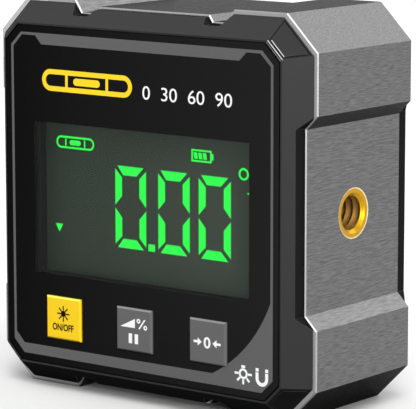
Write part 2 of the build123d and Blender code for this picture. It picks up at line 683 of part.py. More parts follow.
# Rear cover: tapered rim, skirt, battery bay with two troughs, latch pocket and screw posts
with BuildPart() as rear_cover:
    add(back_rim)
    with BuildSketch(station(FRAME_DEPTH)):
        octagon(SKIRT_HALF, BORE_CORNER)
    extrude(amount=SKIRT_LENGTH)
    with BuildSketch(station(COVER_INNER)):
        octagon(SKIRT_BORE, BORE_CORNER)
    extrude(amount=COVER_INNER - FRAME_DEPTH + SKIRT_LENGTH, mode=Mode.SUBTRACT)
    with BuildSketch(station(COVER_INNER)):
        with Locations(*CORNER_PLACES):
            Circle(CASE_POST / 2)
    extrude(amount=COVER_INNER - CASE_JOINT_DEPTH)
    # Outside of the bay and of the latch pocket
    with BuildSketch(across(-SKIRT_HALF)):
        with Locations(((COVER_INNER + CELL_DEPTH - BAY_WALL) / 2, 0)):
            Rectangle(COVER_INNER - CELL_DEPTH + BAY_WALL, 2 * (BAY_HALF_TALL + BAY_WALL))
        with Locations((CELL_DEPTH, -CELL_Z), (CELL_DEPTH, CELL_Z)):
            Circle(TROUGH_RADIUS + BAY_WALL)
    extrude(amount=2 * SKIRT_HALF)
    with BuildSketch(station(COVER_INNER)):
        with Locations((0, (LATCH_HEAD + BAY_WALL + LATCH_GAP) / 2)):
            Rectangle(LATCH_WIDE + 2 * (LATCH_GAP + BAY_WALL), LATCH_HEAD + BAY_WALL + LATCH_GAP)
    extrude(amount=LATCH_POCKET + BAY_WALL)
    # Inside of the bay
    with BuildSketch(across(-BAY_HALF_LONG)):
        with Locations(((COVER_INNER + CELL_DEPTH) / 2, 0)):
            Rectangle(COVER_INNER - CELL_DEPTH, 2 * BAY_HALF_TALL)
        with Locations((CELL_DEPTH, -CELL_Z), (CELL_DEPTH, CELL_Z)):
            Circle(TROUGH_RADIUS)
    extrude(amount=2 * BAY_HALF_LONG, mode=Mode.SUBTRACT)
    # Door opening with a seat round it, latch pocket and hook slots
    with BuildSketch(station(COVER_FACE)):
        Rectangle(2 * (DOOR_HALF_LONG + DOOR_GAP), 2 * (DOOR_HALF_TALL + DOOR_GAP))
    extrude(amount=COVER_WALL, mode=Mode.SUBTRACT)
    with BuildSketch(station(COVER_FACE)):
        with Locations((0, (LATCH_HEAD + LATCH_GAP) / 2)):
            Rectangle(LATCH_WIDE + 2 * LATCH_GAP, LATCH_HEAD + LATCH_GAP)
    extrude(amount=COVER_WALL + LATCH_POCKET, mode=Mode.SUBTRACT)
    with BuildSketch(station(HOOK_BACK + HOOK_GAP)):
        with Locations((0, -BAY_HALF_TALL - BAY_WALL / 2)):
            with GridLocations(2 * HOOK_X, HOOK_WIDE, 2, 1):
                Rectangle(HOOK_WIDE + 2 * HOOK_SLOT_PLAY, HOOK_SLOT_TALL)
    extrude(amount=HOOK_THICK + 2 * HOOK_GAP, mode=Mode.SUBTRACT)
    # Screw holes, with a well for the head
    with BuildSketch(station(COVER_FACE)):
        with Locations(*CORNER_PLACES):
            Circle(CASE_SCREW_HEAD / 2 + HEAD_PLAY)
    extrude(amount=COVER_FACE - CASE_SCREW_SEAT, mode=Mode.SUBTRACT)
    with BuildSketch(station(CASE_SCREW_SEAT)):
        with Locations(*CORNER_PLACES):
            Circle(CASE_SCREW / 2 + HEAD_PLAY)
    extrude(amount=CASE_SCREW_SEAT - CASE_JOINT_DEPTH, mode=Mode.SUBTRACT)
    # Slots in the trough floors for the tails of the left-hand contacts
    with BuildSketch(station(CELL_DEPTH)):
        with Locations((-BAY_HALF_LONG + TAIL_SLOT / 2, 0)):
            with GridLocations(TAIL_SLOT, 2 * CELL_Z, 1, 2):
                Rectangle(TAIL_SLOT, CONTACT_TAIL + 2 * TAIL_PLAY)
    extrude(amount=CELL_DEPTH - CONTACT_TAIL_END, mode=Mode.SUBTRACT)
save(rear_cover, "rear_cover")

# Battery door: flat plate with two hooks at its foot and a bent spring latch at its head
with BuildPart() as battery_door:
    door_back = COVER_INNER + RIM_GAP
    with BuildSketch(station(COVER_FACE)):
        Rectangle(2 * DOOR_HALF_LONG, 2 * DOOR_HALF_TALL)
    extrude(amount=COVER_FACE - door_back)
    with BuildSketch(station(HOOK_BACK)):
        with Locations((0, -(HOOK_TIP + HOOK_ROOT) / 2)):
            with GridLocations(2 * HOOK_X, HOOK_WIDE, 2, 1):
                Rectangle(HOOK_WIDE, HOOK_TIP - HOOK_ROOT)
    extrude(amount=HOOK_THICK)
    with BuildSketch(station(door_back)):
        with Locations((0, -HOOK_ROOT - HOOK_RIB / 2)):
            with GridLocations(2 * HOOK_X, HOOK_WIDE, 2, 1):
                Rectangle(HOOK_WIDE, HOOK_RIB)
    extrude(amount=door_back - HOOK_BACK)
    latch_bottom = COVER_INNER - LATCH_DEEP
    latch_root = DOOR_HALF_TALL - LATCH_LEG
    latch_leg = DOOR_HALF_TALL + LATCH_SPREAD
    pad_back = COVER_FACE - LATCH_GAP
    with BuildSketch(across(-LATCH_WIDE / 2)):
        with BuildLine():
            Polyline(
                (door_back, latch_root),
                (latch_bottom, latch_root),
                (latch_bottom, latch_leg + LATCH_LEG),
                (pad_back - LATCH_PAD, latch_leg + LATCH_LEG),
                (pad_back - LATCH_PAD, LATCH_HEAD),
                (pad_back, LATCH_HEAD),
                (pad_back, latch_leg),
                (latch_bottom + LATCH_LEG, latch_leg),
                (latch_bottom + LATCH_LEG, DOOR_HALF_TALL),
                (door_back, DOOR_HALF_TALL),
                close=True,
            )
        make_face()
    extrude(amount=LATCH_WIDE)
    # Grip grooves in the latch pad
    with BuildSketch(station(pad_back)):
        with Locations((0, (latch_leg + LATCH_HEAD) / 2)):
            with GridLocations(LATCH_WIDE, GRIP_PITCH, 1, 2):
                Rectangle(LATCH_WIDE - GRIP_SHORT, GRIP_WIDE)
    extrude(amount=-GRIP_WIDE, mode=Mode.SUBTRACT)
save(battery_door, "battery_door")

# Cells: the upper one points right and the lower one left
for node, hand in (("upper_cell", 1), ("lower_cell", -1)):
    with BuildPart() as cell:
        tip = hand * CELL_TIP_X
        shoulder = tip - hand * CELL_NUB
        tail = tip - hand * CELL_LENGTH
        with BuildSketch(station(CELL_DEPTH)):
            with BuildLine(mode=Mode.PRIVATE) as half_section:
                Polyline(
                    (tail, 0),
                    (tail, CELL_RADIUS - CELL_END_ROUND),
                    (tail + hand * CELL_END_ROUND, CELL_RADIUS),
                    (shoulder - hand * CELL_END_ROUND, CELL_RADIUS),
                    (shoulder, CELL_RADIUS - CELL_END_ROUND),
                    (shoulder, CELL_GROOVE_RADIUS),
                    (shoulder - hand * CELL_GROOVE, CELL_GROOVE_RADIUS),
                    (shoulder - hand * CELL_GROOVE, CELL_NUB_RADIUS),
                    (tip, CELL_NUB_RADIUS),
                    (tip, 0),
                    close=True,
                )
            with Locations((0, hand * CELL_Z)):
                add(make_face(half_section.edges(), mode=Mode.PRIVATE))
        revolve(axis=Axis((0, FRAME_FRONT + CELL_DEPTH, HALF + hand * CELL_Z), (1, 0, 0)))
    save(cell, node)

# Sheet contacts: one blade for each cell at the left, and one sheet that links both at the right
with BuildPart() as negative_contact:
    with BuildSketch(across(-CONTACT_X)):
        contact_blade(CONTACT_FOOT, CONTACT_TOP, CELL_Z)
        with Locations(((CONTACT_TAIL_END + CONTACT_FOOT) / 2, CELL_Z)):
            Rectangle(CONTACT_FOOT - CONTACT_TAIL_END, CONTACT_TAIL)
    extrude(amount=CONTACT_THICK)
save(negative_contact, "negative_contact")

with BuildPart() as positive_contact:
    with BuildSketch(across(-CONTACT_X)):
        contact_blade(CONTACT_FOOT, CONTACT_TOP, -CELL_Z)
        with Locations(((CONTACT_TAIL_END + CONTACT_FOOT) / 2, -CELL_Z)):
            Rectangle(CONTACT_FOOT - CONTACT_TAIL_END, CONTACT_TAIL)
    extrude(amount=CONTACT_THICK)
    with BuildSketch(across(CONTACT_THICK - CONTACT_X)):
        with Locations((CELL_DEPTH, -CELL_Z)):
            Circle(DIMPLE_RADIUS)
    extrude(amount=DIMPLE_RISE, taper=DIMPLE_TAPER)
save(positive_contact, "positive_contact")

with BuildPart() as link_contact:
    with BuildSketch(across(CONTACT_X - CONTACT_THICK)):
        contact_blade(CONTACT_FOOT, CONTACT_TOP, CELL_Z)
        contact_blade(CONTACT_FOOT, CONTACT_TOP, -CELL_Z)
        with Locations(((CONTACT_LINK + CONTACT_TOP) / 2, 0)):
            Rectangle(CONTACT_TOP - CONTACT_LINK, 2 * CELL_Z)
    extrude(amount=CONTACT_THICK)
    with BuildSketch(across(CONTACT_X - CONTACT_THICK)):
        with Locations((CELL_DEPTH, CELL_Z)):
            Circle(DIMPLE_RADIUS)
    extrude(amount=-DIMPLE_RISE, taper=DIMPLE_TAPER)
save(link_contact, "link_contact")

# Conical springs, from the narrow turn at the cell out to the wide turn at the contact
spring_room = CONTACT_X - CONTACT_THICK + CELL_TIP_X - CELL_LENGTH - 2 * SPRING_TOUCH
spring_rise = spring_room - SPRING_WIRE
spring_cone = degrees(atan2(SPRING_FOOT - SPRING_HEAD, spring_rise))
with BuildPart() as contact_springs:
    for hand in (1, -1):
        head_x = hand * (CELL_TIP_X - CELL_LENGTH - SPRING_TOUCH - SPRING_WIRE / 2)
        with BuildLine() as coil:
            Helix(
                pitch=spring_rise / SPRING_TURNS,
                height=spring_rise,
                radius=SPRING_HEAD,
                center=(head_x, FRAME_FRONT + CELL_DEPTH, HALF + hand * CELL_Z),
                direction=(-hand, 0, 0),
                cone_angle=spring_cone,
            )
        with BuildSketch(Plane(coil.line @ 0, z_dir=coil.line % 0)):
            RegularPolygon(SPRING_WIRE / 2, WIRE_SIDES)
        sweep(path=coil.line, is_frenet=True)
save(contact_springs, "contact_springs")

# Leads from the tails of the left-hand contacts to the board
for node, hand in (("negative_lead", 1), ("positive_lead", -1)):
    with BuildPart() as lead:
        start_x = CONTACT_THICK / 2 - CONTACT_X
        with BuildLine(level(hand * CELL_Z)) as route:
            FilletPolyline(
                (start_x, CONTACT_TAIL_END),
                (start_x, LEAD_RUN_DEPTH),
                (LEAD_PAD_X, LEAD_RUN_DEPTH),
                (LEAD_PAD_X, BOARD_BACK),
                radius=LEAD_BEND,
            )
        with BuildSketch(Plane(route.line @ 0, z_dir=route.line % 0)):
            RegularPolygon(LEAD / 2, LEAD_SIDES)
        sweep(path=route.line)
    save(lead, node)

# Screws, both sets driven from the back
rear_screws = screws(
    CORNER_PLACES,
    CASE_SCREW / 2,
    CASE_SCREW_HEAD / 2,
    CASE_SCREW_HEAD_TALL,
    CASE_SCREW_LENGTH,
    CASE_SCREW_SEAT,
)
save(rear_screws, "rear_screws")
board_screws = screws(
    BOARD_PLACES,
    BOARD_SCREW / 2,
    BOARD_SCREW_HEAD / 2,
    BOARD_SCREW_HEAD_TALL,
    BOARD_SCREW_LENGTH,
    BOARD_BACK,
)
save(board_screws, "board_screws")
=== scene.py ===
import json
import math

import bmesh
import bpy
from mathutils import Matrix, Vector


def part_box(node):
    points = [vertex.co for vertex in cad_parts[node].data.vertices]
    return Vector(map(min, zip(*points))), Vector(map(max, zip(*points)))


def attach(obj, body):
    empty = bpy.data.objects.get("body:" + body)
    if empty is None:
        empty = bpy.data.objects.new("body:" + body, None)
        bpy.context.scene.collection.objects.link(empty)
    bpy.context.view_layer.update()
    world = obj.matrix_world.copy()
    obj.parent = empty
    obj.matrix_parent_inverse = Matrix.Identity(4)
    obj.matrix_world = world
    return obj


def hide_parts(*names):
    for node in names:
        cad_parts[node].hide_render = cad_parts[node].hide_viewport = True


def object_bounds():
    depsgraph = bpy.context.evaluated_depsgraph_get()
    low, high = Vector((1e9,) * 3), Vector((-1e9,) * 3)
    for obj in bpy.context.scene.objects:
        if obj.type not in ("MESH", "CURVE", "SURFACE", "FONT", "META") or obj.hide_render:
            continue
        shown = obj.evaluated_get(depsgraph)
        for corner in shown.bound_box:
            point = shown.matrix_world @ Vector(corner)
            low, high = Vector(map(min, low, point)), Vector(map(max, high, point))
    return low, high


# Digital angle meter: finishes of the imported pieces, printed graphics, display figures, the thread
# of the tripod insert, the studio and the camera.
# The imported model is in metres, with X to the right, Y to the back and Z up. Sizes named here are
# in millimetres. Flat graphics are drawn from the middle of the case, x to the right and z up.

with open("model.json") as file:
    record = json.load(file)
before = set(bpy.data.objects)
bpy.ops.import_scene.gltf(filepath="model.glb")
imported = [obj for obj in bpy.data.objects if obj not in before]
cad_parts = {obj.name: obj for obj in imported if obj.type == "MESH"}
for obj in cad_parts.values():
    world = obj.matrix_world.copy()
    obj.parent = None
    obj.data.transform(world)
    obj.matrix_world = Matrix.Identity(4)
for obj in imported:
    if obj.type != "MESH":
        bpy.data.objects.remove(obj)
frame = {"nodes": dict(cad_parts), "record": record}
cad_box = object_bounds()
nodes = frame["nodes"]

MM = 0.001
CASE_MIDDLE_Z = (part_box("frame")[0].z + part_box("frame")[1].z) / 2
PANEL_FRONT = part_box("face_panel")[0].y
KEY_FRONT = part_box("power_key")[0].y
GLASS_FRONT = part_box("display_glass")[0].y

# Print: how thick its plates are, how deep they are sunk, and the plane that print on print stands on
PRINT = 0.02
PRINT_SUNK = 0.008
OVER_PRINT = PANEL_FRONT - (PRINT - PRINT_SUNK) * MM


# Shader nodes

def add_node(made, kind, **values):
    """Node of this kind in a material or world, with some of its settings or inputs given."""
    node = made.node_tree.nodes.new(kind)
    for key, value in values.items():
        if hasattr(node, key):
            setattr(node, key, value)
        else:
            node.inputs[key.replace("_", " ")].default_value = value
    return node


def feed(made, socket, value):
    """Give a socket its value: a number, a colour or another node's output."""
    if isinstance(value, bpy.types.NodeSocket):
        made.node_tree.links.new(value, socket)
    elif socket.type == "RGBA":
        socket.default_value = (*value, 1)
    else:
        socket.default_value = value


def paint(made, **values):
    """Feed sockets of the main shader, named with _ for each space."""
    shader = made.node_tree.nodes["Principled BSDF"]
    for key, value in values.items():
        feed(made, shader.inputs[key.replace("_", " ")], value)


def new_material(name, color, roughness, metallic=0.0, specular=0.5):
    """Material whose constant values sit on the shader's own sockets."""
    made = bpy.data.materials.new(name)
    made.use_nodes = True
    paint(made, Base_Color=color, Roughness=roughness, Metallic=metallic, Specular_IOR_Level=specular)
    return made


def worked(made, operation, *values):
    """Result of one step of arithmetic on numbers or outputs."""
    node = add_node(made, "ShaderNodeMath", operation=operation)
    for socket, value in zip(node.inputs, values):
        feed(made, socket, value)
    return node.outputs[0]


def product(made, first, *others):
    """Product of several values."""
    for other in others:
        first = worked(made, "MULTIPLY", first, other)
    return first


def spread(made, value, low, high, start=0.3, end=0.7):
    """Value mapped from the range between start and end to the one between low and high."""
    ranged = add_node(made, "ShaderNodeMapRange")
    for name, limit in (("From Min", start), ("From Max", end), ("To Min", low), ("To Max", high)):
        ranged.inputs[name].default_value = limit
    feed(made, ranged.inputs["Value"], value)
    return ranged.outputs["Result"]


def blended(made, share, first, second):
    """First at a share of 0 and second at a share of 1, for colours or for numbers."""
    colors = any(isinstance(v, tuple) or getattr(v, "type", "") == "RGBA" for v in (first, second))
    mix = add_node(made, "ShaderNodeMix", data_type="RGBA" if colors else "FLOAT")
    start = 6 if colors else 2
    feed(made, mix.inputs[0], share)
    feed(made, mix.inputs[start], first)
    feed(made, mix.inputs[start + 1], second)
    return mix.outputs[2 if colors else 0]


def shade(color, share):
    """Colour times a share."""
    return tuple(channel * share for channel in color)


def axes_of(made, vector):
    """X, Y and Z of a vector."""
    parts = add_node(made, "ShaderNodeSeparateXYZ")
    feed(made, parts.inputs["Vector"], vector)
    return parts.outputs["X"], parts.outputs["Y"], parts.outputs["Z"]


def place(made):
    """Where a spot of the piece is, in metres."""
    return add_node(made, "ShaderNodeTexCoord").outputs["Object"]


def facing(made):
    """Direction that a face looks in, before its edges are softened."""
    return add_node(made, "ShaderNodeNewGeometry").outputs["True Normal"]


def noise(made, size, stretch=(1, 1, 1), detail=3.0, distortion=0.0):
    """Noise over the piece, with grains of this size, drawn out along an axis."""
    scale = add_node(made, "ShaderNodeMapping")
    scale.inputs["Scale"].default_value = [1 / (size * MM * s) for s in stretch]
    feed(made, scale.inputs["Vector"], place(made))
    grain = add_node(made, "ShaderNodeTexNoise", Scale=1.0, Detail=detail, Distortion=distortion)
    feed(made, grain.inputs["Vector"], scale.outputs["Vector"])
    return grain.outputs["Fac"]


def soft_edges(made, radius, samples=4):
    """Direction that a face looks in, with its edges rounded over this radius."""
    soft = add_node(made, "ShaderNodeBevel", samples=samples)
    soft.inputs["Radius"].default_value = radius * MM
    return soft.outputs["Normal"]


def edge_share(made, radius):
    """1 on the edges of a piece and 0 on its flats, for edges rounded over this radius."""
    turn = add_node(made, "ShaderNodeVectorMath", operation="DOT_PRODUCT")
    feed(made, turn.inputs[0], soft_edges(made, radius, samples=6))
    feed(made, turn.inputs[1], facing(made))
    return spread(made, turn.outputs["Value"], 1.0, 0.0, start=0.955, end=0.995)


def grained(made, grain, color, vary):
    """Colour that wavers with the grain by this share."""
    return blended(made, spread(made, grain, 0.0, 1.0), shade(color, 1 - vary), shade(color, 1 + vary))


def relieved(made, height, strength, depth, edge=0.0):
    """Shallow relief of this depth, with edges rounded over a radius."""
    relief = add_node(made, "ShaderNodeBump", Strength=strength, Distance=depth * MM)
    feed(made, relief.inputs["Height"], height)
    if edge:
        feed(made, relief.inputs["Normal"], soft_edges(made, edge))
    return relief.outputs["Normal"]


def textured(made, color, grain, vary, rough, bump, depth, edge=0.0):
    """Give a material its grain: in its colour, its roughness and its relief, with softened edges."""
    paint(
        made,
        Base_Color=grained(made, grain, color, vary),
        Roughness=spread(made, grain, *rough),
        Normal=relieved(made, grain, bump, depth, edge),
    )
    return made


# Frame: its grey, how much darker its corners and its faces that look down are drawn as painted shade, and
# its brush marks
FRAME_GREY = (0.158, 0.158, 0.16)
CORNER_PAINTED_SHADE = 0.24
DOWN_PAINTED_SHADE = 0.6
MARK_WIDE = 0.12
MARK_LONG = (1, 16, 1)
MARK_SHORT = (1, 3, 1)
MARK_VARY = 0.34

# Frame: greys of the bevel cut round its ends, upright and level, and of the ends themselves; the upright
# bevel is painted light, the level one painted shade, and the paler end grey painted light
BEVEL_UPRIGHT_LIT = (0.4, 0.4, 0.404)
BEVEL_LEVEL_SHADED = (0.17, 0.17, 0.172)
END_GREY = (0.3, 0.3, 0.303)
END_PAINTED_LIGHT = (0.46, 0.46, 0.464)

# Frame: brightness at a low angle of its sides, of faces that look down, of its tops, and of the cuts;
# dimmer on faces that look down and on tops as painted shade
SIDE_TINT = (0.7, 0.7, 0.7)
DOWN_REFLECTION_SHADE = (0.4, 0.4, 0.4)
TOP_REFLECTION_SHADE = (0.14, 0.14, 0.14)
CUT_TINT = (1.0, 1.0, 1.0)

# Frame: how far inwards a ramp looks, how slanted a corner's face is, how far forwards or backwards
# the faces of the bevel and of the end look, and how far up and left the painted light on an end lies
RAMP_INWARDS = 4.0
CORNER_SLANT = 0.1
BEVEL_FORWARD = 0.5
END_FORWARD = 0.95
PAINTED_LIGHT_REACH = 50.0


def frame_zones(made, across, upright, side, above):
    """Shares of the frame's ramps, which look partly inwards, and of its slanted corners."""
    outwards = worked(made, "MINIMUM", product(made, across, side), product(made, upright, above))
    ramp = worked(made, "LESS_THAN", outwards, -RAMP_INWARDS * MM)
    both = worked(made, "ABSOLUTE", product(made, across, upright))
    slanted = worked(made, "GREATER_THAN", both, CORNER_SLANT)
    return ramp, worked(made, "SUBTRACT", slanted, ramp)


def brush_marks(made, corner):
    """Brush marks along the extrusion, drawn out less on its corners."""
    marks = (
        spread(made, noise(made, MARK_WIDE, stretch, detail=4.0, distortion=0.35), 0.0, 1.0)
        for stretch in (MARK_LONG, MARK_SHORT)
    )
    return blended(made, corner, *marks)


def frame_metal():
    """Grey anodised aluminium, brushed along the extrusion, with bright edges cut after anodising; painted
    shade darkens its slanted corners and downward faces, and painted light and shade grade its cuts and
    reflections by facing.
    """
    made = new_material("brushed_anodised", FRAME_GREY, roughness=0.4, metallic=1.0)
    across, forward, upright = axes_of(made, facing(made))
    side, _, level = axes_of(made, place(made))
    above = worked(made, "SUBTRACT", level, CASE_MIDDLE_Z)
    ramp, corner = frame_zones(made, across, upright, side, above)
    marks = brush_marks(made, corner)
    down = spread(made, upright, 1.0, 0.0, start=-0.6, end=0.0)
    top = spread(made, upright, 0.0, 1.0, start=0.9, end=0.98)
    # Painted shade: slanted corners and faces that look down are drawn darker.
    painted_shade = worked(made, "MULTIPLY_ADD", corner, -CORNER_PAINTED_SHADE, 1.0)
    painted_shade = worked(made, "MULTIPLY_ADD", down, -DOWN_PAINTED_SHADE, painted_shade)
    dark, light = (FRAME_GREY[0] * share for share in (1 - MARK_VARY, 1 + MARK_VARY))
    brushed_and_shaded = product(made, spread(made, marks, dark, light, start=0.0, end=1.0), painted_shade)
    y, z = (worked(made, "ABSOLUTE", axis) for axis in (forward, upright))
    cut = worked(made, "GREATER_THAN", y, BEVEL_FORWARD)
    end = worked(made, "GREATER_THAN", y, END_FORWARD)
    # Painted light and shade: the cut bevel is lighter where upright and darker where level, and the ends
    # are paler at the upper left.
    bevel = blended(made, spread(made, z, 0.0, 1.0, start=0.2, end=0.5), BEVEL_UPRIGHT_LIT, BEVEL_LEVEL_SHADED)
    upper_left_lit = worked(made, "GREATER_THAN", worked(made, "SUBTRACT", above, side), PAINTED_LIGHT_REACH * MM)
    cut_grey = blended(made, end, bevel, blended(made, upper_left_lit, END_GREY, END_PAINTED_LIGHT))
    # Painted shade: reflections at a low angle are dimmer on faces that look down and dimmest on tops.
    shaded_reflection = blended(made, top, blended(made, down, SIDE_TINT, DOWN_REFLECTION_SHADE), TOP_REFLECTION_SHADE)
    paint(
        made,
        Base_Color=blended(made, cut, brushed_and_shaded, cut_grey),
        Roughness=blended(made, cut, blended(made, ramp, spread(made, marks, 0.24, 0.34), 0.4), 0.2),
        Specular_Tint=blended(made, cut, shaded_reflection, CUT_TINT),
        Normal=relieved(made, marks, strength=0.12, depth=0.01),
    )
    return made


# Case: its black at the front and at the rear, the rear one lighter as painted light, the grey of its
# painted highlight lines, and its softened edges
CASE_BLACK = (0.007, 0.007, 0.0073)
REAR_BLACK = (0.021, 0.021, 0.022)
CORNER_HIGHLIGHT_GREY = (0.5, 0.5, 0.5)
EDGE_SOFT = 0.09

# Case: gloss of a face seen straight on and of one seen aslant
CASE_SHINE = (0.24, 0.015)

# Case: painted highlight lines on the edges across its corners, by how far out and up each lies and by the
# slanted plane that it is proud of, with half their width and half their length
CORNER_LINES = ((49.63, 37.6), (50.11, 37.87), (50.49, 37.87))
CORNER_SLOPE = (0.589, 0.553)
CORNER_LINE_HALF = 0.055
CORNER_LONG_HALF = 2.6

# Case: the painted highlight lines are weak on the left corner and grow to the right one within this half
# width
LEFT_LINE_SHARE = 0.05
LINE_GROWTH_HALF = 10


def corner_highlight_share(made):
    """How light the painted highlight lines on the edges across the bezel's slanted upper corners are, and
    0 elsewhere.
    """
    x, y, z = axes_of(made, place(made))
    outward = worked(made, "ABSOLUTE", x)
    upward = worked(made, "SUBTRACT", z, CASE_MIDDLE_Z)
    reach = worked(made, "ADD", outward, upward)
    ahead = worked(made, "MULTIPLY_ADD", y, -CORNER_SLOPE[1], product(made, reach, CORNER_SLOPE[0]))
    share = 0.0
    for middle, plane in CORNER_LINES:
        line = worked(made, "COMPARE", reach, middle * MM, CORNER_LINE_HALF * MM)
        on_top = worked(made, "GREATER_THAN", ahead, plane * MM)
        share = worked(made, "MULTIPLY_ADD", line, on_top, share)
    between = worked(made, "COMPARE", outward, upward, CORNER_LONG_HALF * MM)
    half = LINE_GROWTH_HALF * MM
    return product(made, share, between, spread(made, x, LEFT_LINE_SHARE, 1.0, start=-half, end=half))


def case_shine(made, x, forward, z):
    """Gloss of the case: less on faces seen aslant and on those that look sideways, down, up or left, as
    painted shade on its reflections.
    """
    view = add_node(made, "ShaderNodeLayerWeight", Blend=0.5)
    return product(
        made,
        spread(made, view.outputs["Facing"], *CASE_SHINE, start=0.35, end=0.62),
        spread(made, forward, 0.1, 1.0, start=0.1, end=0.5),
        spread(made, z, 0.0, 1.0, start=-0.45, end=-0.1),
        spread(made, z, 1.0, 0.75, start=0.62, end=0.76),
        spread(made, x, 0.15, 1.0, start=-0.5, end=-0.2),
    )


def case_plastic():
    """Black moulded plastic with a fine spark-eroded texture, painted highlight lines at its upper
    corners, and a lighter black at the rear as painted light.
    """
    made = new_material("moulded_black", CASE_BLACK, roughness=0.34)
    grain = noise(made, 0.11)
    x, y, z = axes_of(made, facing(made))
    forward = worked(made, "ABSOLUTE", y)
    edges = edge_share(made, EDGE_SOFT)
    # Painted highlight: light grey lines on the edges across the upper corners.
    painted_highlight = product(made, corner_highlight_share(made), spread(made, forward, 0.0, 1.0, start=0.45, end=0.55))
    # Painted light: faces that look back are drawn in a lighter black.
    rear = spread(made, y, 0.0, 1.0, start=0.2, end=0.6)
    blacks = (grained(made, grain, black, vary=0.25) for black in (CASE_BLACK, REAR_BLACK))
    paint(
        made,
        Base_Color=blended(made, painted_highlight, blended(made, rear, *blacks), CORNER_HIGHLIGHT_GREY),
        Specular_IOR_Level=blended(made, edges, case_shine(made, x, forward, z), 0.5),
        Roughness=blended(made, edges, spread(made, grain, 0.3, 0.4), 0.15),
        Normal=relieved(made, grain, strength=0.25, depth=0.012, edge=EDGE_SOFT),
    )
    return made


# Panel and display: the panel's black and its gloss at the left and at the right, the display's colours
# there, how cloudy and how lit it is, and the figures' own colour and their light
PANEL_BLACK = (0.002, 0.002, 0.0021)
PANEL_SHINE = (0.025, 0.13)
DISPLAY_LEFT = (0.017, 0.025, 0.017)
DISPLAY_RIGHT = (0.041, 0.051, 0.041)
DISPLAY_CLOUD = 0.12
DISPLAY_GLOW = (0.25, 1.0, 0.35)
GLOW_STRENGTH = 0.004
FIGURE_DARK = (0.01, 0.03, 0.01)
FIGURE_LIGHT = (0.022, 0.97, 0.075)


def panel():
    """Black printed sheet under the graphics, smooth and a little glossier to the right, a painted
    reflection that grows to the right.
    """
    made = new_material("panel_black", PANEL_BLACK, roughness=0.22)
    low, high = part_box("face_panel")
    x, _, _ = axes_of(made, place(made))
    grain = noise(made, 0.6)
    textured(made, PANEL_BLACK, grain, vary=0.12, rough=(0.2, 0.27), bump=0.05, depth=0.004)
    paint(made, Specular_IOR_Level=spread(made, x, *PANEL_SHINE, start=low.x, end=high.x))
    return made


def lens():
    """Clear window that light passes straight through, with a weak reflection on its outer side."""
    made = bpy.data.materials.new("window_clear")
    made.use_nodes = True
    tree = made.node_tree
    tree.nodes.remove(tree.nodes["Principled BSDF"])
    clear = add_node(made, "ShaderNodeBsdfTransparent")
    gloss = add_node(made, "ShaderNodeBsdfAnisotropic", Roughness=0.05)
    ripple = noise(made, 4.0, detail=1.0)
    feed(made, gloss.inputs["Normal"], relieved(made, ripple, strength=0.02, depth=0.004))
    coat = add_node(made, "ShaderNodeFresnel", IOR=1.2)
    side = add_node(made, "ShaderNodeNewGeometry")
    outer = worked(made, "SUBTRACT", 1.0, side.outputs["Backfacing"])
    mix = add_node(made, "ShaderNodeMixShader")
    feed(made, mix.inputs["Fac"], product(made, coat.outputs["Fac"], outer))
    feed(made, mix.inputs[1], clear.outputs["BSDF"])
    feed(made, mix.inputs[2], gloss.outputs["BSDF"])
    feed(made, tree.nodes["Material Output"].inputs["Surface"], mix.outputs["Shader"])
    return made


def display():
    """Display glass: dark grey-green, a little brighter towards the right, with a faint glow."""
    made = new_material("display_dark", DISPLAY_LEFT, roughness=0.3, specular=0.05)
    low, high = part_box("display_glass")
    x, _, _ = axes_of(made, place(made))
    across = spread(made, x, 0.0, 1.0, start=low.x, end=high.x)
    cloudy = worked(made, "MULTIPLY_ADD", noise(made, 5.0, detail=1.0), DISPLAY_CLOUD, across)
    paint(
        made,
        Base_Color=blended(made, cloudy, DISPLAY_LEFT, DISPLAY_RIGHT),
        Emission_Color=DISPLAY_GLOW,
        Emission_Strength=GLOW_STRENGTH,
    )
    return made


def lit_figure():
    """Bright green light through the clear figures of the display."""
    made = new_material("figure_green", FIGURE_DARK, roughness=0.4, specular=0.0)
    light = grained(made, noise(made, 2.5, detail=1.0), FIGURE_LIGHT, vary=0.04)
    paint(made, Emission_Color=light, Emission_Strength=1.0)
    made.cycles.emission_sampling = "NONE"
    return made


def print_ink(name, color, specular=0.3):
    """Screen-printed ink: matte, with a slight pinhole grain."""
    made = new_material(name, color, roughness=0.5, specular=specular)
    return textured(made, color, noise(made, 0.12), vary=0.05, rough=(0.45, 0.6), bump=0.1, depth=0.004)


# Keys: the share of their colour that their lower rim keeps, as painted shade
LOWER_RIM_SHADE_SHARE = 0.45


def key_plastic(name, color, rim):
    """Smooth moulded key with softened edges, lighter and glossier on its upper rim as painted highlight,
    darker below as painted shade.
    """
    made = new_material(name, color, roughness=0.36)
    grain = noise(made, 0.25)
    _, _, z = axes_of(made, facing(made))
    upper = spread(made, z, 0.0, 1.0, start=0.1, end=0.6)
    lower = spread(made, z, 0.0, 1.0, start=-0.1, end=-0.6)
    # Painted highlight on the upper rim, and painted shade on the lower one.
    body = blended(made, upper, grained(made, grain, color, vary=0.03), rim)
    paint(
        made,
        Base_Color=blended(made, lower, body, shade(color, LOWER_RIM_SHADE_SHARE)),
        Specular_IOR_Level=spread(made, z, 0.2, 1.0, start=0.1, end=0.6),
        Roughness=spread(made, grain, 0.32, 0.41),
        Normal=relieved(made, grain, strength=0.05, depth=0.006, edge=0.2),
    )
    return made


def plain_plastic(name, color, roughness):
    """Moulded plastic, rubber or resin without a finish of its own."""
    made = new_material(name, color, roughness)
    rough = (roughness - 0.05, roughness + 0.08)
    return textured(made, color, noise(made, 0.3), vary=0.1, rough=rough, bump=0.15, depth=0.01, edge=0.05)


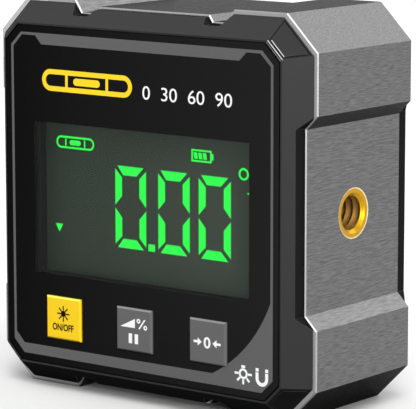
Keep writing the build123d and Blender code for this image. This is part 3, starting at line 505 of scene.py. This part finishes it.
def turned_metal(name, color, roughness):
    """Machined or drawn metal, its tool marks running round."""
    made = new_material(name, color, roughness, metallic=1.0)
    rough = (roughness - 0.06, roughness + 0.08)
    marks = noise(made, 0.12, stretch=(1, 8, 8), detail=2.0)
    return textured(made, color, marks, vary=0.06, rough=rough, bump=0.08, depth=0.006, edge=0.05)


def plated_metal(name, color, roughness):
    """Rolled and plated sheet or wire."""
    made = new_material(name, color, roughness, metallic=1.0)
    grain = noise(made, 0.5)
    rough = (roughness - 0.05, roughness + 0.1)
    return textured(made, color, grain, vary=0.07, rough=rough, bump=0.05, depth=0.006, edge=0.04)


# Board: its green, how much brighter a track shows through, and the pitch and width of the tracks
BOARD_GREEN = (0.012, 0.12, 0.045)
TRACK_BRIGHTER = 1.7
TRACK_PITCH = 2.2
TRACK_SHARE = 0.06

# Cells: jacket and band colours, and how far the band's middle lies from the tip, with its half width
CELL_BLUE = (0.01, 0.045, 0.13)
CELL_BAND = (0.62, 0.64, 0.66)
BAND_FROM_TIP = 5.3
BAND_HALF = 3.7


def circuit_board():
    """Green solder mask over copper tracks."""
    made = new_material("solder_mask", BOARD_GREEN, roughness=0.35)
    turn = add_node(made, "ShaderNodeMapping")
    turn.inputs["Rotation"].default_value = (math.pi / 2, 0, 0)
    feed(made, turn.inputs["Vector"], place(made))
    tracks = add_node(made, "ShaderNodeTexBrick", Scale=1 / (TRACK_PITCH * MM))
    tracks.inputs["Mortar Size"].default_value = TRACK_SHARE
    feed(made, tracks.inputs["Color1"], (0, 0, 0))
    feed(made, tracks.inputs["Color2"], (0, 0, 0))
    feed(made, tracks.inputs["Mortar"], (1, 1, 1))
    feed(made, tracks.inputs["Vector"], turn.outputs["Vector"])
    track = tracks.outputs["Fac"]
    paint(
        made,
        Base_Color=blended(made, track, BOARD_GREEN, shade(BOARD_GREEN, TRACK_BRIGHTER)),
        Normal=relieved(made, track, strength=0.4, depth=0.03),
    )
    return made


def cell_jacket(name, hand):
    """Printed jacket of a cell: dark blue, with a pale band at the end that the hand points to."""
    made = new_material(name, CELL_BLUE, roughness=0.28)
    low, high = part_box(name)
    tip = high.x if hand > 0 else low.x
    x, _, _ = axes_of(made, place(made))
    band = worked(made, "COMPARE", x, tip - hand * BAND_FROM_TIP * MM, BAND_HALF * MM)
    paint(
        made,
        Base_Color=blended(made, band, CELL_BLUE, CELL_BAND),
        Normal=relieved(made, noise(made, 0.8), strength=0.1, depth=0.01),
    )
    return made


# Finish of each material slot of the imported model, and the hand of each cell
FINISHES = {
    "case_plastic": case_plastic(),
    "frame_metal": frame_metal(),
    "panel": panel(),
    "lens": lens(),
    "display": display(),
    # The second colour of each key is the painted highlight of its upper rim.
    "yellow_key": key_plastic("key_yellow", (0.86, 0.565, 0.004), (1.0, 0.9, 0.03)),
    "grey_key": key_plastic("key_grey", (0.105, 0.105, 0.107), (0.17, 0.17, 0.173)),
    "white_plastic": plain_plastic("tray_white", (0.8, 0.8, 0.78), 0.5),
    "light_guide": plain_plastic("guide_clear", (0.7, 0.85, 0.72), 0.15),
    "lamp": plain_plastic("lamp_resin", (0.75, 0.9, 0.65), 0.3),
    "elastomer": plain_plastic("strip_elastomer", (0.3, 0.3, 0.31), 0.7),
    "board": circuit_board(),
    "chip": plain_plastic("chip_resin", (0.02, 0.02, 0.022), 0.5),
    "ceramic": plain_plastic("ceramic_tan", (0.55, 0.42, 0.28), 0.55),
    "switch": plain_plastic("switch_black", (0.03, 0.03, 0.03), 0.45),
    "plunger": plain_plastic("plunger_cream", (0.7, 0.66, 0.58), 0.4),
    "black_lead": plain_plastic("lead_black", (0.015, 0.015, 0.015), 0.5),
    "red_lead": plain_plastic("lead_red", (0.55, 0.02, 0.012), 0.45),
    "brass": turned_metal("brass_turned", (0.54, 0.3, 0.012), 0.4),
    "plated_steel": turned_metal("steel_zinc", (0.62, 0.62, 0.6), 0.3),
    "nickel": plated_metal("nickel_bright", (0.66, 0.62, 0.56), 0.22),
}
CELLS = {"upper_cell": 1, "lower_cell": -1}
for row in frame["record"]["subparts"]:
    node = row["node"]
    finish = cell_jacket(node, CELLS[node]) if node in CELLS else FINISHES[row["material_slot"]]
    nodes[node].data.materials.clear()
    nodes[node].data.materials.append(finish)

WHITE_INK = print_ink("ink_white", (0.85, 0.85, 0.85))
GREY_INK = print_ink("ink_grey", (0.088, 0.088, 0.089))
YELLOW_INK = print_ink("ink_yellow", (0.93, 0.62, 0.008))
DARK_INK = print_ink("ink_dark", (0.004, 0.004, 0.003), specular=0.05)
FIGURE = lit_figure()


# Flat outlines, in steps that look round at their size
CIRCLE_STEPS = 48
END_STEPS = 16
SWEEP_STEPS = 24


def box_outline(x0, z0, x1, z1):
    """Rectangle between two corners."""
    return [(x0, z0), (x1, z0), (x1, z1), (x0, z1)]


def arc(x, z, radius, start, end, steps=CIRCLE_STEPS):
    """Points on an arc, its angles in degrees from the x axis."""
    angles = [math.radians(start + (end - start) * i / steps) for i in range(steps + 1)]
    return [(x + radius * math.cos(a), z + radius * math.sin(a)) for a in angles]


def circle(x, z, radius):
    """Closed circle."""
    return arc(x, z, radius, 0, 360)[:-1]


def stadium(x, z, length, tall):
    """Bar with round ends about a middle point."""
    radius = tall / 2
    half = length / 2 - radius
    return [
        *arc(x + half, z, radius, -90, 90, END_STEPS),
        *arc(x - half, z, radius, 90, 270, END_STEPS),
    ]


def turned(points, x, z, angle):
    """Outline turned by degrees about a point."""
    turn = Matrix.Rotation(math.radians(angle), 2)
    return [tuple(turn @ Vector((px - x, pz - z)) + Vector((x, z))) for px, pz in points]


def octagon(half, corner):
    """Square with chamfered corners, from the top left corner round to the right."""
    near = half - corner
    return [
        (-near, half), (near, half), (half, near), (half, -near),
        (near, -half), (-near, -half), (-half, -near), (-half, near),
    ]


def rays(x, z, inner, outer, wide, angles=range(0, 360, 45)):
    """Rays round a point, at these angles in degrees."""
    bar = box_outline(x + inner, z - wide / 2, x + outer, z + wide / 2)
    return [turned(bar, x, z, angle) for angle in angles]


def vial(x, z, size, wall, bubble, lines, line):
    """Level vial about a middle point: its tube, its bubble and the lines to the left and right."""
    length, tall = size
    line_wide, line_half = line
    return [
        stadium(x, z, length, tall),
        stadium(x, z, length - 2 * wall, tall - 2 * wall),
        stadium(x, z, *bubble),
        *(box_outline(x + start, z - line_half, x + start + line_wide, z + line_half) for start in lines),
    ]


# Printed pieces

def stand(drawn, name, front, body, finish):
    """Turn a drawn curve or text into a mesh piece that stands a hair proud of that front plane."""
    mesh = bpy.data.meshes.new_from_object(drawn)
    bpy.data.objects.remove(drawn)
    mesh.name = name
    mesh.transform(Matrix.Rotation(math.pi / 2, 4, "X"))
    mesh.transform(Matrix.Translation((0, front + (PRINT_SUNK - PRINT / 2) * MM, CASE_MIDDLE_Z)))
    mesh.materials.clear()
    mesh.materials.append(finish)
    piece = bpy.data.objects.new(name, mesh)
    bpy.context.scene.collection.objects.link(piece)
    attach(piece, body)
    return piece


def print_shape(name, outlines, front, finish, body="case"):
    """Printed graphic: thin plates with these outlines, holes where an outline lies in another."""
    curve = bpy.data.curves.new(name, "CURVE")
    curve.dimensions = "2D"
    curve.fill_mode = "BOTH"
    curve.extrude = PRINT / 2 * MM
    for points in outlines:
        spline = curve.splines.new("POLY")
        spline.points.add(len(points) - 1)
        for point, (x, z) in zip(spline.points, points):
            point.co = (x * MM, z * MM, 0, 1)
        spline.use_cyclic_u = True
    drawn = bpy.data.objects.new(name, curve)
    bpy.context.scene.collection.objects.link(drawn)
    return stand(drawn, name, front, body, finish)


def print_text(name, words, corner, size, front, finish, body="case", bolder=0.0):
    """Printed letters or numbers that fill a box, given by its lower left corner and its size."""
    text = bpy.data.curves.new(name, "FONT")
    text.body = words
    text.extrude = PRINT / 2 * MM
    text.size = 1.0
    text.offset = bolder
    drawn = bpy.data.objects.new(name, text)
    bpy.context.scene.collection.objects.link(drawn)
    measured = bpy.data.meshes.new_from_object(drawn)
    xs = [v.co.x for v in measured.vertices]
    ys = [v.co.y for v in measured.vertices]
    bpy.data.meshes.remove(measured)
    piece = stand(drawn, name, front, body, finish)
    x_scale = size[0] * MM / (max(xs) - min(xs))
    z_scale = size[1] * MM / (max(ys) - min(ys))
    for vertex in piece.data.vertices:
        vertex.co.x = (vertex.co.x - min(xs)) * x_scale + corner[0] * MM
        vertex.co.z = (vertex.co.z - CASE_MIDDLE_Z - min(ys)) * z_scale + corner[1] * MM + CASE_MIDDLE_Z
    return piece


# Panel: border with a thick top and a curved lower right corner
BORDER = 24.86
BORDER_CORNER = 2.0
BORDER_LINE = 0.45
BORDER_TOP = 23.15
SWEEP_MIDDLE = (3.36, -2.99)
SWEEP_RADIUS = 22.73
SWEEP_ANGLES = (-22, -62.5)
INNER = BORDER - BORDER_LINE
border_inner = [
    (-INNER, 22.65), (-22.65, INNER + 0.05), (-20.05, INNER + 0.05), (-18.78, BORDER_TOP),
    (18.8, BORDER_TOP), (20.05, INNER), (22.55, INNER), (INNER, 22.6),
    *arc(*SWEEP_MIDDLE, SWEEP_RADIUS, *SWEEP_ANGLES, SWEEP_STEPS),
    (-22.8, -23.3), (-INNER, -21.65),
]
border = [octagon(BORDER, BORDER_CORNER), border_inner]
print_shape("panel_border", border, PANEL_FRONT, GREY_INK)

# Heading: a level vial in yellow, and the numbers of an angle scale in white
SCALE_CORNER = (0.9, 16.25)
SCALE_SIZE = (16.6, 2.0)
head_vial = vial(
    -9.87, 17.88, size=(17.6, 3.3), wall=0.75, bubble=(5.2, 1.1), lines=(-4.2, 3.7), line=(0.5, 0.9),
)
print_shape("panel_vial", head_vial, PANEL_FRONT, YELLOW_INK)
print_text("panel_scale", "0  30  60  90", SCALE_CORNER, SCALE_SIZE, PANEL_FRONT, WHITE_INK)

# Lamp and magnet signs on the border's lower right corner
LAMP = (19.57, -22.45)
LAMP_OUTER = 0.8
LAMP_INNER = 0.46
LAMP_CAP_LOW = 0.86
LAMP_CAP_HALF = 0.35
LAMP_CAP_TALL = 0.4
LAMP_RAY = (0.86, 1.57, 0.34)
MAGNET = (22.94, -22.77)
MAGNET_INNER = 0.6
MAGNET_OUTER = 1.13
ARM_TOP = 0.88
POLE_LOW = 1.0
POLE_HIGH = 1.5


def lamp_sign(x, z):
    """Lamp: a ring with a cap on top, and rays at its sides and below."""
    cap_low = z + LAMP_CAP_LOW
    return [
        circle(x, z, LAMP_OUTER), circle(x, z, LAMP_INNER),
        box_outline(x - LAMP_CAP_HALF, cap_low, x + LAMP_CAP_HALF, cap_low + LAMP_CAP_TALL),
        *rays(x, z, *LAMP_RAY, range(180, 361, 45)),
    ]


def magnet_sign(x, z):
    """Horseshoe magnet that opens upwards, its two poles set off by a gap."""
    arms = [
        (x + MAGNET_OUTER, z + ARM_TOP), (x + MAGNET_INNER, z + ARM_TOP),
        *arc(x, z, MAGNET_INNER, 0, -180, END_STEPS),
        (x - MAGNET_INNER, z + ARM_TOP), (x - MAGNET_OUTER, z + ARM_TOP),
        *arc(x, z, MAGNET_OUTER, -180, 0, END_STEPS),
    ]
    left_pole = box_outline(x - MAGNET_OUTER, z + POLE_LOW, x - MAGNET_INNER, z + POLE_HIGH)
    right_pole = box_outline(x + MAGNET_INNER, z + POLE_LOW, x + MAGNET_OUTER, z + POLE_HIGH)
    return [arms, left_pole, right_pole]


print_shape("panel_lamp", lamp_sign(*LAMP), OVER_PRINT, WHITE_INK)
print_shape("panel_magnet", magnet_sign(*MAGNET), OVER_PRINT, WHITE_INK)

# Key signs: a sun over ON/OFF, a slope over two hold bars, and a zero between two arrows
POWER_X, HOLD_X, ZERO_X = (
    (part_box(node)[0].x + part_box(node)[1].x) / 2 / MM for node in ("power_key", "hold_key", "zero_key")
)
SUN = (POWER_X + 0.05, -17.78)
SUN_RADIUS = 0.5
SUN_RAY = (0.53, 1.22, 0.22)
POWER_WORDS_CORNER = (POWER_X - 2.12, -20.45)
POWER_WORDS_SIZE = (4.2, 1.1)
SLOPE_LEFT = HOLD_X - 2.55
SLOPE_RIGHT = HOLD_X + 0.25
SLOPE_LOW = -18.2
SLOPE_HIGH = -16.8
PERCENT = (HOLD_X + 1.6, -17.5)
PERCENT_RING = (0.36, 0.14)
PERCENT_OFF = (0.65, 0.45)
STROKE_NEAR = 0.4
STROKE_FAR = 0.7
STROKE_HALF = 0.75
HOLD_LOW = -20.6
HOLD_HIGH = -19.1
HOLD_STARTS = (HOLD_X - 0.95, HOLD_X + 0.2)
HOLD_WIDE = 0.65
ZERO_CORNER = (ZERO_X - 0.62, -19.5)
ZERO_SIZE = (1.24, 1.7)
ARROW_Z = -18.65
ARROW_REACHES = (1.0, 1.75, 2.5)
ARROW_HEAD_HALF = 0.6
ARROW_SHAFT_HALF = 0.18


def percent(x, z):
    """Percent sign about a middle point: two rings and a slanted stroke."""
    off_x, off_z = PERCENT_OFF
    low, high = z - STROKE_HALF, z + STROKE_HALF
    return [
        *(circle(x - off_x, z + off_z, radius) for radius in PERCENT_RING),
        *(circle(x + off_x, z - off_z, radius) for radius in PERCENT_RING),
        [(x - STROKE_FAR, low), (x - STROKE_NEAR, low), (x + STROKE_FAR, high), (x + STROKE_NEAR, high)],
    ]


def arrow(x, z, side):
    """Arrow beside a point, to the left at a side of -1, that points at it."""
    tip, head, tail = (x + side * reach for reach in ARROW_REACHES)
    return [
        (tip, z), (head, z + ARROW_HEAD_HALF), (head, z + ARROW_SHAFT_HALF), (tail, z + ARROW_SHAFT_HALF),
        (tail, z - ARROW_SHAFT_HALF), (head, z - ARROW_SHAFT_HALF), (head, z - ARROW_HEAD_HALF),
    ]


sun = [circle(*SUN, SUN_RADIUS), *rays(*SUN, *SUN_RAY)]
print_shape("power_sign", sun, KEY_FRONT, DARK_INK, "power_button")
print_text(
    "power_words", "ON/OFF", POWER_WORDS_CORNER, POWER_WORDS_SIZE, KEY_FRONT, DARK_INK,
    "power_button", bolder=0.03,
)
hold_sign = [
    [(SLOPE_LEFT, SLOPE_LOW), (SLOPE_RIGHT, SLOPE_LOW), (SLOPE_RIGHT, SLOPE_HIGH)],
    *percent(*PERCENT),
    *(box_outline(left, HOLD_LOW, left + HOLD_WIDE, HOLD_HIGH) for left in HOLD_STARTS),
]
print_shape("hold_sign", hold_sign, KEY_FRONT, WHITE_INK, "hold_button")
print_text(
    "zero_number", "0", ZERO_CORNER, ZERO_SIZE, KEY_FRONT, WHITE_INK, "zero_button",
    bolder=0.02,
)
arrows = [arrow(ZERO_X, ARROW_Z, side) for side in (-1, 1)]
print_shape("zero_arrows", arrows, KEY_FRONT, WHITE_INK, "zero_button")

# Display figures: 0.00 in seven-segment digits, with the small marks round them
DIGIT_WIDE = 5.95
DIGIT_TALL = 12.45
DIGIT_TOP = 5.48
DIGIT_STARTS = (-6.72, 1.56, 9.2)
BAR_THICK = 1.4
BAR_GAP = 0.47
BAR_SLANT = 1.06
BAR_RIGHT_SLANT = 1.36
POST_WIDE = 1.3
POST_STARTS = (0.5, 1.75)
POST_ENDS = (0.25, 1.65)
POINT = (-0.36, -6.95, 0.9, -5.88)
POINTER = ((-18.65, -4.55), (-17.15, -4.55), (-17.9, -5.8))
DEGREE = (17.49, 6.3)
DEGREE_RING = (0.92, 0.6)
DOT = (18.3, 3.5, 0.16)
BATTERY = (7.85, 7.35)
BATTERY_SIZE = (3.75, 1.85)
BATTERY_WALL = 0.27
BATTERY_CAP = (0.02, 0.35)
CHARGE_LOW = 0.45
CHARGE_STARTS = (0.55, 1.4, 2.25)
CHARGE_WIDE = 0.65
CHARGE_SLANT = 0.15


def digit_zero(left, top):
    """Six lit segments of a zero: a bar and two posts in its upper half, and in its lower half."""
    right = left + DIGIT_WIDE
    bottom = top - DIGIT_TALL
    middle = (top + bottom) / 2
    shapes = []
    for outer, step in ((top, -1), (bottom, 1)):
        inner = outer + step * BAR_THICK
        shapes.append([
            (left + BAR_GAP, outer), (right - BAR_GAP, outer),
            (right - BAR_GAP - BAR_RIGHT_SLANT, inner), (left + BAR_GAP + BAR_SLANT, inner),
        ])
        for edge, side in ((left, 1), (right, -1)):
            inside = edge + side * POST_WIDE
            shapes.append([
                (edge, outer + step * POST_STARTS[0]), (inside, outer + step * POST_STARTS[1]),
                (inside, middle - step * POST_ENDS[1]), (edge, middle - step * POST_ENDS[0]),
            ])
    return shapes


def battery(left, low):
    """Battery mark: the outline of a cell, the cap at its right, and three slanted bars of charge."""
    right, high = left + BATTERY_SIZE[0], low + BATTERY_SIZE[1]
    bar_low, bar_high = low + CHARGE_LOW, high - CHARGE_LOW
    cap_left, cap_right = (right + reach for reach in BATTERY_CAP)
    bars = []
    for start in CHARGE_STARTS:
        near, far = left + start, left + start + CHARGE_WIDE
        top_near, top_far = near - CHARGE_SLANT, far - CHARGE_SLANT
        bars.append([(near, bar_low), (far, bar_low), (top_far, bar_high), (top_near, bar_high)])
    return [
        box_outline(left, low, right, high),
        box_outline(left + BATTERY_WALL, low + BATTERY_WALL, right - BATTERY_WALL, high - BATTERY_WALL),
        box_outline(cap_left, bar_low, cap_right, bar_high),
        *bars,
    ]


figures = [shape for left in DIGIT_STARTS for shape in digit_zero(left, DIGIT_TOP)]
degree = [circle(*DEGREE, radius) for radius in DEGREE_RING]
level_mark = vial(
    -14.6, 8.15, size=(7.5, 1.9), wall=0.3, bubble=(2.2, 0.8), lines=(-2.0, 1.75), line=(0.25, 0.55),
)
figures += [box_outline(*POINT), POINTER, *degree, circle(*DOT), *level_mark, *battery(*BATTERY)]
print_shape("display_figures", figures, GLASS_FRONT, FIGURE)


# Tripod insert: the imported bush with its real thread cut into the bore
THREAD_PITCH = 1.27
THREAD_ROOT = 3.17
THREAD_RUN_OUT = 0.7
THREAD_FLANK = 1.25
THREAD_FLAT = 0.1
THREAD_STEPS = 14
TURN_STEPS = 96
BUSH_MOUTH = 3.05
BUSH_BEVEL = 0.25
BUSH_RIM = (0.08, 0.16)
SHARP_ANGLE = 35
BRASS, THREAD, RIM = range(3)


def thread_radius(x, angle, bore, floor, face):
    """Radius of the internal thread at this depth and angle."""
    turns = (face - x) / THREAD_PITCH + angle / (2 * math.pi)
    rise = abs(2 * (turns % 1.0) - 1)
    shaped = min(1.0, max(0.0, rise * THREAD_FLANK - THREAD_FLAT))
    fade = min(1.0, max(0.0, (x - floor) / THREAD_RUN_OUT))
    return bore + (THREAD_ROOT - bore) * shaped * fade


def bush_rings(low, high):
    """Rings of the bush from its back to its floor, as lists of depth, radius and angle, with the
    finish of each row of faces between two rings."""
    mount = frame["record"]["mounts"][0]
    bore = mount["dims"]["r_mm"]
    radius = (high.z - low.z) / 2 / MM
    back, face = low.x / MM, high.x / MM
    floor = mount["pos_m"][0] / MM - mount["dims"]["length_mm"]
    rim = face - BUSH_RIM[0]
    throat = rim - (BUSH_MOUTH - bore)
    outside = [
        (back, radius - BUSH_BEVEL), (back + BUSH_BEVEL, radius), (face, radius),
        (rim, radius - BUSH_RIM[1]), (rim, BUSH_MOUTH), (throat, bore),
    ]
    count = int((face - floor) / THREAD_PITCH * THREAD_STEPS)
    inside = [throat - (throat - floor) * i / count for i in range(1, count + 1)]
    angles = [2 * math.pi * j / TURN_STEPS for j in range(TURN_STEPS)]
    rings = [[(x, r, angle) for angle in angles] for x, r in outside]
    rings += [[(x, thread_radius(x, angle, bore, floor, face), angle) for angle in angles] for x in inside]
    finishes = [BRASS, BRASS, RIM, BRASS, BRASS] + count * [THREAD]
    return rings, finishes


def bush_mesh():
    """Closed mesh of the bush, its rows of faces in their finishes."""
    low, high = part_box("tripod_insert")
    rings, finishes = bush_rings(low, high)
    middle = Vector((0, (low.y + high.y) / 2, (low.z + high.z) / 2))
    shape = bmesh.new()
    rows = [
        [
            shape.verts.new(middle + Vector((x, r * math.cos(angle), r * math.sin(angle))) * MM)
            for x, r, angle in ring
        ]
        for ring in rings
    ]
    for finish, first, second in zip(finishes, rows, rows[1:]):
        for j in range(TURN_STEPS):
            side = shape.faces.new((first[j - 1], first[j], second[j], second[j - 1]))
            side.material_index = finish
            side.smooth = True
    shape.faces.new(rows[0][::-1])
    shape.faces.new(rows[-1])
    bmesh.ops.recalc_face_normals(shape, faces=shape.faces)
    mesh = bpy.data.meshes.new("tripod_bush")
    shape.to_mesh(mesh)
    shape.free()
    return mesh


def threaded_bush():
    """Blind brass bush with an internal thread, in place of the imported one."""
    mesh = bush_mesh()
    mesh.materials.append(FINISHES["brass"])
    # The thread is drawn darker than the brass, painted shade of the bore.
    mesh.materials.append(turned_metal("brass_thread", (0.24, 0.13, 0.034), 0.55))
    # The polished rim is drawn paler than the brass, partly a painted highlight.
    mesh.materials.append(turned_metal("brass_rim", (0.85, 0.72, 0.45), 0.35))
    piece = bpy.data.objects.new("tripod_bush", mesh)
    bpy.context.scene.collection.objects.link(piece)
    sharp = piece.modifiers.new("sharp_edges", "EDGE_SPLIT")
    sharp.split_angle = math.radians(SHARP_ANGLE)
    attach(piece, "case")
    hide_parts("tripod_insert")


threaded_bush()


# Studio: the floor's half width in metres, how far it lies below the feet, its colour for light and
# as it is seen, and how strongly the sky lights from the horizon and from overhead
FLOOR_HALF = 4.0
FLOOR_BELOW = 0.01
FLOOR_PALE = (0.8, 0.8, 0.8)
FLOOR_SEEN = (0.96, 0.96, 0.96)
HORIZON_LIGHT = 0.3
ZENITH_LIGHT = 0.6


def seen_share(made):
    """1 for rays of the camera, of reflections and through glass, and 0 for rays that only light."""
    path = add_node(made, "ShaderNodeLightPath")
    reflected = worked(made, "MAXIMUM", path.outputs["Is Glossy Ray"], path.outputs["Is Transmission Ray"])
    return worked(made, "MAXIMUM", path.outputs["Is Camera Ray"], reflected)


def floor_material():
    """Pale matte floor, shown white to the camera and in reflections, with its shadows kept."""
    made = new_material("floor_pale", FLOOR_PALE, roughness=0.9, specular=0.0)
    paint(made, Base_Color=blended(made, seen_share(made), FLOOR_PALE, FLOOR_SEEN))
    return made


def make_floor():
    """Large flat floor under the feet."""
    shape = bmesh.new()
    bmesh.ops.create_grid(shape, x_segments=8, y_segments=8, size=FLOOR_HALF)
    mesh = bpy.data.meshes.new("floor")
    shape.to_mesh(mesh)
    shape.free()
    mesh.materials.append(floor_material())
    floor = bpy.data.objects.new("floor", mesh)
    floor.location.z = cad_box[0].z - FLOOR_BELOW * MM
    bpy.context.scene.collection.objects.link(floor)


def soft_sun(name, toward, strength, angle):
    """Distant lamp that shines from this direction, as wide as the angle in degrees."""
    lamp = bpy.data.lights.new(name, "SUN")
    lamp.energy = strength
    lamp.angle = math.radians(angle)
    holder = bpy.data.objects.new(name, lamp)
    holder.rotation_mode = "QUATERNION"
    holder.rotation_quaternion = Vector(toward).to_track_quat("Z", "Y")
    bpy.context.scene.collection.objects.link(holder)


def studio_world():
    """Soft sky that lights more from overhead than from the horizon, and is seen as plain white."""
    world = bpy.data.worlds.new("studio")
    world.use_nodes = True
    background = world.node_tree.nodes["Background"]
    direction = add_node(world, "ShaderNodeTexCoord").outputs["Generated"]
    _, _, height = axes_of(world, direction)
    light = spread(world, height, HORIZON_LIGHT, ZENITH_LIGHT, start=0.15, end=0.75)
    light.node.interpolation_type = "SMOOTHSTEP"
    up_to_white = worked(world, "SUBTRACT", 1.0, light)
    strength = worked(world, "MULTIPLY_ADD", up_to_white, seen_share(world), light)
    feed(world, background.inputs["Strength"], strength)
    feed(world, background.inputs["Color"], (1, 1, 1))
    bpy.context.scene.world = world


make_floor()
studio_world()
soft_sun("key_light", toward=(0.40, -0.46, 0.80), strength=1.3, angle=30)
soft_sun("right_light", toward=(0.87, -0.48, 0.06), strength=2.5, angle=34)
soft_sun("back_light", toward=(0.16, 0.78, 0.60), strength=0.85, angle=44)
soft_sun("top_light", toward=(-0.60, -0.02, 0.80), strength=0.4, angle=34)
soft_sun("glint_light", toward=(0.0, -0.90, 0.44), strength=0.12, angle=5)

# Camera, from a fit to the photograph's edges: its place in metres and its directions
CAMERA_PLACE = (0.253840, -0.324697, 0.095254)
CAMERA_RIGHT = (0.78925, 0.61407, -0.00084)
CAMERA_UP = (-0.09750, 0.12664, 0.98715)
CAMERA_LOOK = (-0.60628, 0.77903, -0.15982)
SENSOR_WIDTH = 36.0
LENS_LENGTH = 236.67
camera = bpy.data.objects.new("camera", bpy.data.cameras.new("camera"))
camera.data.sensor_width = SENSOR_WIDTH
camera.data.lens = LENS_LENGTH
camera.data.clip_start = 0.01
camera.data.clip_end = 50.0
axes = Matrix((CAMERA_RIGHT, CAMERA_UP, tuple(-c for c in CAMERA_LOOK))).transposed()
camera.matrix_world = Matrix.Translation(CAMERA_PLACE) @ axes.to_4x4()
bpy.context.scene.collection.objects.link(camera)
bpy.context.scene.camera = camera
bpy.context.scene.view_settings.view_transform = "Standard"
